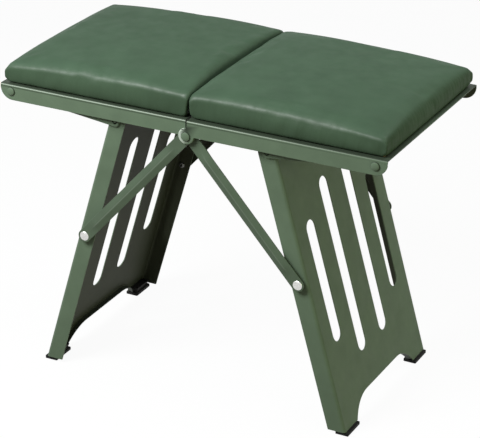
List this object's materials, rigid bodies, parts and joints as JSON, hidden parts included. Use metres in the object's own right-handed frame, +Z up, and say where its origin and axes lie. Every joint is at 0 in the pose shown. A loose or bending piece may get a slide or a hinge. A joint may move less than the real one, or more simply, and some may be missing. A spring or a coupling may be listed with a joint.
{
  "type": "folding stool",
  "caption": "Folding stool with a hinged padded seat in two halves, slotted sheet-metal legs, links and diagonal braces.",
  "frame": {"origin": "on the floor under the middle of the seat", "axes": "+X along the seat towards the right half, -Y to the front, +Z up"},
  "size_m": [0.416, 0.2232, 0.3345],
  "materials": {
    "green_paint": "satin powder coat",
    "green_leatherette": "fine grained, soft sheen",
    "bright_steel": "bright plated",
    "black_rubber": "matte",
    "foam": "open cell",
    "plywood": "sanded"
  },
  "bodies": {
    "left_seat": {"left_seat_pan": "green_paint", "left_pad_board": "plywood", "left_pad_foam": "foam", "left_pad_cover": "green_leatherette", "left_pad_screw_1": "bright_steel", "left_pad_screw_2": "bright_steel", "left_pad_screw_3": "bright_steel", "left_pad_screw_4": "bright_steel", "left_link_rivet_front": "green_paint", "left_link_rivet_rear": "green_paint", "left_link_bush_front": "bright_steel", "left_link_bush_rear": "bright_steel", "centre_rivet_front": "green_paint", "centre_rivet_rear": "green_paint"},
    "left_links": {"left_link_front": "green_paint", "left_link_rear": "green_paint"},
    "left_leg": {"left_leg_panel": "green_paint", "left_foot_front": "black_rubber", "left_foot_rear": "black_rubber", "left_leg_rivet_front": "bright_steel", "left_leg_rivet_rear": "bright_steel", "left_brace_bush_front": "bright_steel", "left_brace_bush_rear": "bright_steel"},
    "left_braces": {"left_brace_front": "green_paint", "left_brace_rear": "green_paint", "left_brace_rivet_front": "bright_steel", "left_brace_rivet_rear": "bright_steel"},
    "right_seat": {"right_seat_pan": "green_paint", "right_pad_board": "plywood", "right_pad_foam": "foam", "right_pad_cover": "green_leatherette", "right_pad_screw_1": "bright_steel", "right_pad_screw_2": "bright_steel", "right_pad_screw_3": "bright_steel", "right_pad_screw_4": "bright_steel", "right_link_rivet_front": "green_paint", "right_link_rivet_rear": "green_paint", "right_link_bush_front": "bright_steel", "right_link_bush_rear": "bright_steel"},
    "right_links": {"right_link_front": "green_paint", "right_link_rear": "green_paint"},
    "right_leg": {"right_leg_panel": "green_paint", "right_foot_front": "black_rubber", "right_foot_rear": "black_rubber", "right_leg_rivet_front": "bright_steel", "right_leg_rivet_rear": "bright_steel", "right_brace_bush_front": "bright_steel", "right_brace_bush_rear": "bright_steel"},
    "right_braces": {"right_brace_front": "green_paint", "right_brace_rear": "green_paint", "right_brace_rivet_front": "bright_steel", "right_brace_rivet_rear": "bright_steel"}
  },
  "joints": [
    {"name": "seat_fold", "type": "hinge", "parent": "left_seat", "child": "right_seat", "pos_m": [0, 0, 0.2866], "axis": [0, 1, 0], "range_deg": [0, 45]},
    {"name": "left_leg_fold", "type": "hinge", "parent": "left_seat", "child": "left_links", "pos_m": [-0.196, 0, 0.2959], "axis": [0, 1, 0], "range_deg": [0, 170.88]},
    {"name": "left_leg_swing", "type": "hinge", "parent": "left_links", "child": "left_leg", "pos_m": [-0.08218, 0, 0.283], "axis": [0, 1, 0], "range_deg": [-277.03, 0]},
    {"name": "left_brace_swing", "type": "hinge", "parent": "left_seat", "child": "left_braces", "pos_m": [0, 0, 0.2866], "axis": [0, 1, 0], "range_deg": [0, 50.04]},
    {"name": "right_leg_fold", "type": "hinge", "parent": "right_seat", "child": "right_links", "pos_m": [0.196, 0, 0.2959], "axis": [0, -1, 0], "range_deg": [0, 170.88]},
    {"name": "right_leg_swing", "type": "hinge", "parent": "right_links", "child": "right_leg", "pos_m": [0.08218, 0, 0.283], "axis": [0, -1, 0], "range_deg": [-277.03, 0]},
    {"name": "right_brace_swing", "type": "hinge", "parent": "right_seat", "child": "right_braces", "pos_m": [0, 0, 0.2866], "axis": [0, -1, 0], "range_deg": [0, 50.04]}
  ],
  "couplings": [
    {"joint": "left_leg_swing", "follows": "left_leg_fold", "ratio": -1.6206},
    {"joint": "left_brace_swing", "follows": "left_leg_fold", "ratio": 0.29225},
    {"joint": "right_leg_swing", "follows": "right_leg_fold", "ratio": -1.6206},
    {"joint": "right_brace_swing", "follows": "right_leg_fold", "ratio": 0.29225}
  ]
}
